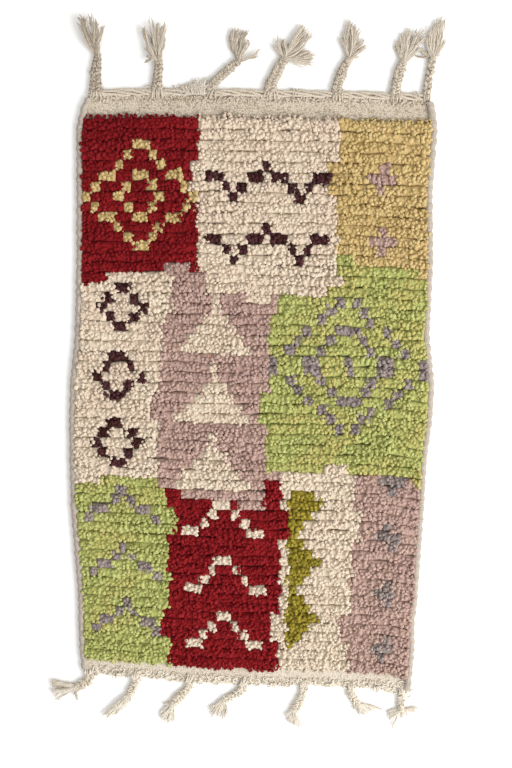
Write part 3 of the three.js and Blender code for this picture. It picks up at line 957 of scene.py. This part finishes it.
# The hearts of all rows in one wool
def heart_mesh(name, wools, wool_name):
    random = stream(name)
    yarns = Yarns()
    for row, ends in enumerate(wools[:ROWS * ENDS].reshape(ROWS, ENDS)):
        changes = [0, *(np.flatnonzero(ends[1:] != ends[:-1]) + 1), ENDS]
        for first, last in zip(changes[:-1], changes[1:]):
            if ends[first] == wool_name:
                add_heart(yarns, row, first, last, random)
    return yarns.mesh(name)


def make_pile():
    tree = tuft_tree()
    tufts = tuft_collection()
    ends, wools = knot_ends()
    pieces = []
    for wool_name, wool in WOOLS.items():
        chosen = wools == wool_name
        material = wool_material(f"{wool_name} wool pile", wool)
        mesh = pile_mesh(f"pile_{wool_name}", tree, tufts, material, ends, chosen)
        pieces.append(piece(f"pile_{wool_name}", mesh, material))
        heart = heart_mesh(f"pile_heart_{wool_name}", wools, wool_name)
        pieces.append(piece(heart.name, heart, material))
    for tuft in list(tufts.objects):
        bpy.data.objects.remove(tuft)
    bpy.data.collections.remove(tufts)
    return pieces


# How far the cord bows out between two tassels' roots, and how far it draws in at a root
CORD_BOWS = {"top": 0.0036, "bottom": 0.0018}
CORD_END_RUN = 0.06
BOW_ROUNDNESS = 0.7


def cord_bow(x, end):
    roots = np.array([tassel.x for tassel in TASSELS[end]])
    order = np.searchsorted(roots, x)
    low = np.concatenate([[roots[0] - CORD_END_RUN], roots])[order]
    high = np.concatenate([roots, [roots[-1] + CORD_END_RUN]])[order]
    share = np.clip((x - low) / (high - low), 0, 1)
    return CORD_BOWS[end] * np.sin(math.pi * share) ** BOW_ROUNDNESS


# The strands of a cord wind about its middle, in and out and up and down, each with its own wander and lumps
STRAND_SWING = 0.0024
STRAND_MIDDLE = 0.0038
STRAND_RISE = 0.0016
STRAND_WANDER = (0.5, 0.08)
STRAND_WOBBLE = (0.0007, 0.02)
STRAND_LUMPS = (0.08, 0.015)
STRAND_PLY = 0.0085
STRAND_SHADES = (0.8, 0.5)
CORE_NARROWER = 0.0012
CORE_BOW = 1.6
CORE_LIGHT = 0.95


def edge_cord_mesh(name, end):
    random = stream(name)
    side = SIDES[end]
    yarns = Yarns()
    left, right = (SIDE_LEFT[-1], SIDE_RIGHT[-1]) if end == "top" else (SIDE_LEFT[1], SIDE_RIGHT[0])
    x = np.arange(left + CORD_END_INSET, right - CORD_END_INSET, CORD_STEP)
    inner = end_edge(x, end) + side * PIECE_GAP
    half_bow = cord_bow(x, end) / 2
    middle = inner + side * (CORD_WIDTH / 2 + half_bow)
    count = CORD_STRANDS[end]
    for strand in range(count):
        turn = TURN * (x / CORD_PITCH + strand / count) + field(name, x, 0, STRAND_WANDER)
        y = middle + (STRAND_SWING + half_bow) * np.cos(turn) + field(f"{name} {strand}", x, 0, STRAND_WOBBLE)
        path = vectors(x, y, STRAND_MIDDLE + STRAND_RISE * np.sin(turn))
        radius = STRAND_RADIUS * (1 + field(f"{name} thick {strand}", x, 0, STRAND_LUMPS))
        yarns.add(path, radius, 6, STRAND_PLY, strand, random.normal(*STRAND_SHADES))
    add_cord_core(yarns, x, inner, side * (CORD_WIDTH - CORE_NARROWER + CORE_BOW * half_bow))
    for tassel in TASSELS[end]:
        add_root_yarns(yarns, tassel, end, random)
    add_stitches(yarns, end, left, right, random)
    add_loops(yarns, end, random)
    add_loose_ends(yarns, end, random)
    return yarns.mesh(name)


# The packed yarn between the strands of a cord: places across it and heights make its section
def add_cord_core(yarns, x, inner, width):
    section = np.array(CORE_SECTION)
    if width[0] > 0:
        section = section[::-1]
    points = vectors(x[:, None], inner[:, None] + width[:, None] * section[:, 0], section[:, 1])
    yarns.add_rings(points, points, CORE_LIGHT, 0.0)


# Warp ends that gather from the band, arch over the cord and run into a tassel's braid.
# Their spreads are shares of the braid's width at its root.
ROOT_YARNS = (5, 9)
ROOT_POINTS = 8
ROOT_LEAN = 0.5
ROOT_SPOTS = 0.12
ROOT_SPREADS = (0.35, 0.62)
ROOT_GATHERED = 0.38
ROOT_GATHER_RATE = 1.1
ROOT_STARTS = (-0.005, 0.001)
ROOT_PAST_CORD = 0.002
ROOT_LOW = 0.0034
ROOT_ARCH = 0.0042
ROOT_ARCH_PART = 0.9
ROOT_LAYERS = 0.0008
ROOT_THICKNESS = (0.8, 1.05)
ROOT_PLY = 0.0075
ROOT_SHADES = 0.5


def add_root_yarns(yarns, tassel, end, random):
    lean = math.radians(tassel.heading) * ROOT_LEAN
    share = np.linspace(0, 1, ROOT_POINTS)
    arch = ROOT_LOW + ROOT_ARCH * np.sin(math.pi * (share * ROOT_ARCH_PART))
    count = random.integers(*ROOT_YARNS)
    for yarn in range(count):
        spot = lerp(-1, 1, (yarn + 0.5) / count) + random.normal(0, ROOT_SPOTS)
        first = tassel.root * random.uniform(*ROOT_SPREADS)
        spread = lerp(first, tassel.root * ROOT_GATHERED, smoothstep(share * ROOT_GATHER_RATE))
        out = lerp(random.uniform(*ROOT_STARTS), CORD_WIDTH + ROOT_PAST_CORD, share)
        x = tassel.x + spot * spread + np.maximum(out, 0) * math.sin(lean)
        y = end_edge(tassel.x, end) + SIDES[end] * out
        path = vectors(x, y, arch + ROOT_LAYERS * random.random())
        radius = BRAID_YARN_RADIUS * random.uniform(*ROOT_THICKNESS)
        yarns.add(path, radius, 6, ROOT_PLY, any_phase(random), random.normal(0, ROOT_SHADES))


# Overcast stitches that hold the cord to the band, each a short yarn that slants its own way
STITCH_STEP = 0.0065
STITCH_INSET = 0.006
STITCH_POINTS = 6
STITCH_REACH = (0.003, 0.0085)
STITCH_PLACES = (-0.0075, 0.0015)
STITCH_SLANT = 0.0042
STITCH_BEND = 0.0008
STITCH_BEND_TURN = 5
STITCH_LOW = 0.0031
STITCH_RISES = (0.0014, 0.0026)
STITCH_RADII = (0.0007, 0.0012)
STITCH_SHADES = (0.2, 0.7)
SMALL_PLY = 0.006


def add_stitches(yarns, end, left, right, random):
    spots = np.arange(left + STITCH_INSET, right - STITCH_INSET, STITCH_STEP)
    share = np.linspace(0, 1, STITCH_POINTS)
    for spot in spots + random.normal(0, STITCH_STEP / 3, len(spots)):
        reach = random.uniform(*STITCH_REACH)
        x = spot + random.normal(0, STITCH_SLANT) * share
        x = x + STITCH_BEND * np.sin(STITCH_BEND_TURN * share + any_phase(random))
        y = end_edge(spot, end) + SIDES[end] * (random.uniform(*STITCH_PLACES) + reach * (share - 0.5))
        path = vectors(x, y, STITCH_LOW + random.uniform(*STITCH_RISES) * np.sin(math.pi * share))
        yarns.add(path, random.uniform(*STITCH_RADII), 5, SMALL_PLY, any_phase(random),
                  random.normal(*STITCH_SHADES))


# Small loops and knots of yarn that stand out along the edges, more of them where an edge is frayed
Frayed = namedtuple("Frayed", "count first last reach radius")
FRAYED = {
    "top": [
        Frayed(60, -0.255, 0.285, (-0.002, 0.0085), (0.0018, 0.0036)),
        Frayed(12, -0.175, -0.140, (0.001, 0.0115), (0.0016, 0.0034)),
        Frayed(24, -0.135, -0.072, (0.001, 0.0130), (0.0018, 0.0036)),
    ],
    "bottom": [
        Frayed(150, -0.275, 0.270, (-0.003, 0.0085), (0.0022, 0.0046)),
        Frayed(20, 0.225, 0.282, (-0.012, 0.0120), (0.0030, 0.0054)),
    ],
}
LOOP_TURN = (2.2, 4.8)
LOOP_POINTS = 7
LOOP_LONGER = 1.3
LOOP_RISE = 0.0005
LOOP_RADII = (0.0011, 0.0018)
LOOP_SHADES = (0.4, 0.6)
LOOP_SCATTER = 0.003
LOOP_HEIGHTS = (0.0030, 0.0042)


def add_loop(yarns, x, y, z, radius, random):
    turn = any_phase(random) + np.linspace(0, random.uniform(*LOOP_TURN), LOOP_POINTS)
    path = vectors(x + LOOP_LONGER * radius * np.cos(turn), y + radius * np.sin(turn),
                   z + LOOP_RISE * np.sin(turn / 2 + 1))
    yarns.add(path, random.uniform(*LOOP_RADII), 5, SMALL_PLY, any_phase(random), random.normal(*LOOP_SHADES))


def add_loops(yarns, end, random):
    for run in FRAYED[end]:
        for x in np.linspace(run.first, run.last, run.count) + random.normal(0, LOOP_SCATTER, run.count):
            y = end_edge(x, end) + SIDES[end] * random.uniform(*run.reach)
            add_loop(yarns, x, y, random.uniform(*LOOP_HEIGHTS), random.uniform(*run.radius), random)


# Loose ends that stick out of a cord
Loose = namedtuple("Loose", "x count length heading spread shade")
LOOSE = {
    "top": [
        Loose(-0.101, 14, 0.014, -40, 8, 1.5),
        Loose(-0.090, 18, 0.015, -26, 8, 2.5),
        Loose(-0.080, 34, 0.022, -3, 15, 3.5),
        Loose(0.074, 5, 0.008, 20, 22, 0.3),
        Loose(0.270, 5, 0.009, -25, 22, 0.3),
    ],
    "bottom": [
        Loose(-0.235, 6, 0.008, -20, 22, 0.3),
        Loose(0.040, 6, 0.007, 10, 22, 0.3),
        Loose(0.222, 8, 0.010, 15, 22, 0.3),
    ],
}
LOOSE_POINTS = 7
LOOSE_IN_CORD = 0.6
LOOSE_START = 0.3
LOOSE_LENGTHS = (0.7, 1)
LOOSE_SCATTER = 0.003
LOOSE_TOP = 0.0066
LOOSE_DROP = 0.0030
LOOSE_LAYERS = 0.002
LOOSE_RADIUS = 0.0010


def add_loose_ends(yarns, end, random):
    along = np.linspace(0, 1, LOOSE_POINTS)
    for tuft in LOOSE[end]:
        for _ in range(tuft.count):
            length = CORD_WIDTH * LOOSE_IN_CORD + tuft.length * random.uniform(*LOOSE_LENGTHS)
            heading = tuft.heading + random.normal(0, tuft.spread) + random.normal(0, 2 * tuft.spread) * along
            heading = np.radians(heading)
            x = tuft.x + random.normal(0, LOOSE_SCATTER) + length * along * np.sin(heading)
            out = CORD_WIDTH * LOOSE_START + length * along * np.cos(heading)
            z = LOOSE_TOP - LOOSE_DROP * along + random.uniform(0, LOOSE_LAYERS)
            path = vectors(x, end_edge(tuft.x, end) + SIDES[end] * out, z)
            yarns.add(path, LOOSE_RADIUS, 4, SMALL_PLY, any_phase(random), random.normal(tuft.shade, 1.0))


# The ways out of an end and across, at a heading
def ways(heading, side):
    out = vectors(np.sin(heading), side * np.cos(heading))
    return out, vectors(np.cos(heading), -side * np.sin(heading))


# The places on the floor that equal steps lead to, each its own way
def walked(start, out, step):
    return start + np.concatenate([[(0, 0)], np.cumsum(out[:-1] * step, axis=0)])


# The run of a braid on the floor, as in the CAD model
Run = namedtuple("Run", "place out across share")


def braid_run(tassel, end):
    side = SIDES[end]
    steps = round(tassel.braid / BRAID_STEP)
    share = np.linspace(0, 1, steps + 1)
    ease = smoothstep(share * tassel.braid / BRAID_ROOT_RUN)
    out, across = ways(np.radians((tassel.heading + tassel.turn * share) * ease), side)
    start = np.array([tassel.x, end_edge(tassel.x, end) + side * (CORD_WIDTH + 2 * PIECE_GAP)])
    return Run(walked(start, out, tassel.braid / steps), out, across, share)


# A braid: three strands of a few yarns each, painted lighter where they lie on top and darker where they lie
# low, as light and shade
BRAID_STRANDS = 3
BRAID_REACH = 0.0050
BRAID_FULLEST = 1.2
BRAID_LUMPS = (0.06, 0.006)
BRAID_LOOSENESS = (0.35, 0.010)
BRAID_WOBBLE = (0.0004, 0.005)
BRAID_LEAST_RISE = 1.4
BRAID_THIN = 0.4
BRAID_BASE_LIGHT = 0.8
BRAID_UP_LIGHT = 100
BRAID_PLY = 0.0072
BRAID_SHADES = 0.6


def any_wave(along, size, random):
    amount, run = size
    return amount * np.sin(along / run + any_phase(random))


def add_braid(yarns, tassel, run, end, random):
    along = run.share * tassel.braid
    lumps = 1 + any_wave(along, BRAID_LUMPS, random)
    taper = lumps * lerp(tassel.root, tassel.end, run.share) / BRAID_FULL_WIDTHS[end]
    radius = BRAID_YARN_RADIUS * (BRAID_THIN + (1 - BRAID_THIN) * taper)
    middle = BRAID_MIDDLE * (0.5 + 0.5 * np.minimum(taper, BRAID_FULLEST))
    start = random.uniform(0, TURN)
    for strand in range(BRAID_STRANDS):
        turn = start + TURN * (along / tassel.pitch + strand / BRAID_STRANDS)
        turn += any_wave(along, BRAID_LOOSENESS, random)
        height = middle + BRAID_LIFT * np.sin(2 * turn)
        line = run.place + run.across * (BRAID_REACH * taper * np.sin(turn))[:, None]
        direction = np.gradient(line, axis=0)
        direction /= np.linalg.norm(direction, axis=1)[:, None]
        beside = vectors(direction[:, 1], -direction[:, 0])
        roll = any_phase(random)
        for over, up in STRAND_PLACES:
            flat = line + beside * (over * taper + any_wave(along, BRAID_WOBBLE, random))[:, None]
            z = np.maximum(height + up * taper, BRAID_LEAST_RISE * BRAID_YARN_RADIUS)
            light = BRAID_LIGHT * np.sin(2 * turn) + BRAID_BASE_LIGHT + BRAID_UP_LIGHT * up
            yarns.add(np.column_stack([flat, z]), radius, 5, BRAID_PLY, roll, random.normal(0, BRAID_SHADES),
                      light, any_start(random))


# Small loops of yarn that stand out all over a braid
FUZZ_TOP = 0.0085
FUZZ_DROP = 0.0045
FUZZ_RADII = (0.0012, 0.0026)


def add_braid_fuzz(yarns, tassel, run, random):
    for _ in range(BRAID_FUZZ):
        at = random.integers(1, len(run.place) - 1)
        aside = random.uniform(-1, 1)
        width = lerp(tassel.root, tassel.end, run.share[at])
        x, y = run.place[at] + run.across[at] * aside * 0.5 * width
        add_loop(yarns, x, y, FUZZ_TOP - FUZZ_DROP * aside ** 2, random.uniform(*FUZZ_RADII), random)


# A few turns of yarn that tie the end of a braid
TIE_TURNS = 2.6
TIE_POINTS = 44
TIE_SPAN = (-0.0036, 0.0030)
TIE_HALF_WIDTH = 0.42
TIE_MIDDLE = 0.0046
TIE_RISE = 0.0036
TIE_RADIUS = 0.0012
TIE_PLY = 0.007
TIE_SHADES = 0.4


def add_tie(yarns, tassel, run, random):
    turn = np.linspace(0, TURN * TIE_TURNS, TIE_POINTS)
    along = lerp(*TIE_SPAN, turn / turn[-1])[:, None]
    aside = (TIE_HALF_WIDTH * tassel.end * np.cos(turn))[:, None]
    flat = run.place[-1] + run.out[-1] * along + run.across[-1] * aside
    path = np.column_stack([flat, TIE_MIDDLE + TIE_RISE * np.sin(turn)])
    yarns.add(path, TIE_RADIUS, 5, TIE_PLY, shade=random.normal(0, TIE_SHADES))


# How a yarn of a brush lies: its place across the braid's end and within its lock, its heading and length,
# its layer above the floor, and its lock's own bend and wave
Lie = namedtuple("Lie", "spot within heading length layer bend wave phase")
LOCK_LAYERS = (0.3, 1)
LOCK_BENDS = 9
LOCK_WAVES = (5, 11)
LOCK_LENGTHS = (0.84, 1.03)
THIN_LOCK = 3
FILL_LENGTHS = (0.6, 0.95)
FILL_SPOTS = 0.8
FILL_LAYER = 0.1
FILL_WAVE = 6


# The loose yarns of a tassel: its locks, and shorter yarns under them and between, painted darker as shade
def add_brush(yarns, tassel, locks, run, end, random):
    for order, lock in enumerate(locks):
        spot = lerp(-1, 1, (order + 0.5) / len(locks))
        count = round(BRUSH_FULLER * lock.yarns)
        half = LOCK_PACK * math.sqrt(count)
        layer = random.uniform(*LOCK_LAYERS)
        sweep = (random.normal(0, LOCK_BENDS), random.uniform(*LOCK_WAVES), any_phase(random))
        for yarn in range(count):
            within = lerp(-1, 1, (yarn + 0.5) / count)
            length = BRUSH_SUNK + lock.length * random.uniform(*LOCK_LENGTHS)
            lie = Lie(spot, half * within, lock.heading, length, layer + 0.5 * (1 - within ** 2), *sweep)
            add_brush_yarn(yarns, tassel, run, end, lie, random)
    full = [lock for lock in locks if lock.yarns > THIN_LOCK]
    for order, (first, second) in enumerate(zip(full[:-1], full[1:])):
        for _ in range(FILL_YARNS):
            share = random.uniform(0, 1)
            length = min(first.length, second.length) * random.uniform(*FILL_LENGTHS)
            heading = lerp(first.heading, second.heading, share)
            spot = lerp(-FILL_SPOTS, FILL_SPOTS, (order + share) / len(full))
            lie = Lie(spot, 0, heading, length, FILL_LAYER, 0, FILL_WAVE, share)
            add_brush_yarn(yarns, tassel, run, end, lie, random)


# A yarn of a brush leaves the braid its way, turns to its lock's heading, bends, waves and ripples along it,
# flares at its tip, and settles to the floor. Angles are degrees, and rates are per length of the yarn.
BRUSH_LEAST_STEPS = 6
BRUSH_TURNED = 0.15
BEND_PIVOT = 0.4
LOCK_WAVE_TURN = 6
YARN_HEADINGS = 1.6
RIPPLE_RUNS = (0.013, 0.026)
RIPPLES = (4, 13)
TIP_START = 0.75
TIP_FLARE = 90
BRUSH_SPOTS = 0.24
LOCK_GATHERED = 0.45
LOCK_OPEN_RATE = 2.5
YARN_LAYERS = (-0.1, 0.4)
LAYER_HEIGHT = 0.0028
LAYER_DROP = 0.4
BRUSH_START_HEIGHT = 0.0024
BRUSH_REST_HEIGHT = 1.5
SETTLE_RATE = 1.5
LIFT_RATE = 1.8
TIP_THIN = ([0, 0.85, 1], [1.0, 1.0, 0.55])
BRUSH_THICKNESS = (0.85, 1.2)
BRUSH_PLY = 0.0068
BRUSH_SHADES = (0.2, 0.9)
LOW_LAYER_PAINTED_SHADE = 1.9
TOP_LAYER = 0.9


def add_brush_yarn(yarns, tassel, run, end, lie, random):
    side = SIDES[end]
    steps = max(BRUSH_LEAST_STEPS, round(lie.length / BRUSH_STEP))
    along = np.linspace(0, 1, steps + 1)
    first = math.degrees(math.atan2(run.out[-1][0], side * run.out[-1][1]))
    turned = smoothstep(along * lie.length / BRUSH_TURN + BRUSH_TURNED)
    heading = first + (lie.heading - first) * (turned * (BRUSH_BOW[0] - BRUSH_BOW[1] * along))
    heading += lie.bend * (along - BEND_PIVOT)
    heading += lie.wave * np.sin(LOCK_WAVE_TURN * along + lie.phase)
    heading += random.normal(0, YARN_HEADINGS)
    ripple = TURN * along * lie.length / random.uniform(*RIPPLE_RUNS) + any_phase(random)
    heading += random.uniform(*RIPPLES) * np.sin(ripple)
    heading += random.normal(0, TIP_FLARE) * np.clip(along - TIP_START, 0, 1)
    out, beside = ways(np.radians(heading), side)
    begin = run.place[-1] + run.across[-1] * lie.spot * BRUSH_SPOTS * tassel.end - run.out[-1] * BRUSH_SUNK
    within = lie.within * lerp(LOCK_GATHERED, 1, smoothstep(along * LOCK_OPEN_RATE))
    flat = walked(begin, out, lie.length / steps) + beside * within[:, None]
    layer = LAYER_HEIGHT * max(lie.layer + random.uniform(*YARN_LAYERS), 0)
    rest = BRUSH_REST_HEIGHT * BRUSH_RADIUS + layer * (1 - LAYER_DROP * along)
    z = lerp(BRUSH_START_HEIGHT + layer, rest, smoothstep(along * SETTLE_RATE))
    z = z + tassel.lift * smoothstep(along * LIFT_RATE)
    radius = BRUSH_RADIUS * np.interp(along, *TIP_THIN) * random.uniform(*BRUSH_THICKNESS)
    # Lower yarns are painted darker, as shade under the yarns above them
    yarns.add(np.column_stack([flat, z]), radius, 5, BRUSH_PLY, any_phase(random), start=any_start(random),
              shade=random.normal(*BRUSH_SHADES) - LOW_LAYER_PAINTED_SHADE * (TOP_LAYER - lie.layer))


def tassel_mesh(name, tassel, locks, end):
    random = stream(name)
    run = braid_run(tassel, end)
    yarns = Yarns()
    add_braid(yarns, tassel, run, end, random)
    add_braid_fuzz(yarns, tassel, run, random)
    add_tie(yarns, tassel, run, random)
    add_brush(yarns, tassel, [Lock(*lock) for lock in locks], run, end, random)
    # Each tassel's painted shade or light
    yarns.shades = [shade + tassel.shade for shade in yarns.shades]
    return yarns.mesh(name)


def make_edges():
    made = []
    material = wool_material("undyed selvedge wool", SELVEDGE_WOOL)
    for is_left, name in ((True, "selvedge_left"), (False, "selvedge_right")):
        made.append(piece(name, selvedge_mesh(name, is_left), material))
    for end in SIDES:
        material = wool_material(f"undyed tassel wool at the {end}", LIT_AND_SHADED_TASSEL_WOOLS[end], LOOSE_SOFTNESS)
        name = f"edge_cord_{end}"
        made.append(piece(f"{name}_yarns", edge_cord_mesh(name, end), material, [name]))
        for number, (tassel, locks) in enumerate(zip(TASSELS[end], LOCKS[end]), start=1):
            name = f"tassel_{end}_{number}"
            mesh = tassel_mesh(name, tassel, locks, end)
            made.append(piece(f"{name}_yarns", mesh, material, [name]))
    return made


FLOOR_HALF = 20.0
FLOOR_COLOUR = "#f7f6f4"
FLOOR_ROUGHNESS = 0.9


def make_floor():
    corners = [(x * FLOOR_HALF, y * FLOOR_HALF, 0) for x, y in ((-1, -1), (1, -1), (1, 1), (-1, 1))]
    material = bpy.data.materials.new("white studio paper")
    material.use_nodes = True
    shader = material.node_tree.nodes["Principled BSDF"]
    shader.inputs["Base Color"].default_value = colour(FLOOR_COLOUR)
    shader.inputs["Roughness"].default_value = FLOOR_ROUGHNESS
    mesh = mesh_of("floor", corners, [(0, 1, 2, 3)])
    mesh.materials.append(material)
    floor = put_in_scene("floor", mesh)
    return floor


# Soft studio light: a white room, and a large lamp from the lower right
WORLD_STRENGTH = 0.84
LAMP_PLACE = (3.5, -1.4, 2.6)
LAMP_SIZE = 3.8
LAMP_POWER = 255


def make_light():
    world = bpy.data.worlds.new("studio")
    world.use_nodes = True
    background = world.node_tree.nodes["Background"]
    background.inputs["Color"].default_value = (1, 1, 1, 1)
    background.inputs["Strength"].default_value = WORLD_STRENGTH
    bpy.context.scene.world = world
    lamp_data = bpy.data.lights.new("lamp", "AREA")
    lamp_data.shape = "DISK"
    lamp_data.size = LAMP_SIZE
    lamp_data.energy = LAMP_POWER
    lamp = put_in_scene("lamp", lamp_data)
    lamp.location = LAMP_PLACE
    x, y, z = LAMP_PLACE
    lamp.rotation_euler = (math.atan2(math.hypot(x, y), z), 0, math.atan2(y, x) + math.pi / 2)


def make_camera():
    camera_data = bpy.data.cameras.new("camera")
    camera_data.sensor_width = SENSOR_WIDTH
    camera_data.lens = SENSOR_WIDTH * FOCAL_PIXELS / LONG_SIDE_PIXELS
    camera = put_in_scene("camera", camera_data)
    camera.location = CAMERA_PLACE
    camera.rotation_euler = (-CAMERA_TILT, 0, 0)
    bpy.context.scene.camera = camera
    bpy.context.scene.view_settings.view_transform = "Standard"


make_camera()
make_light()
floor = make_floor()
pile = make_pile()
ground = piece("ground", ground_mesh(), weave_material("flat-woven wool", WARP), ["rug"])
edges = make_edges()
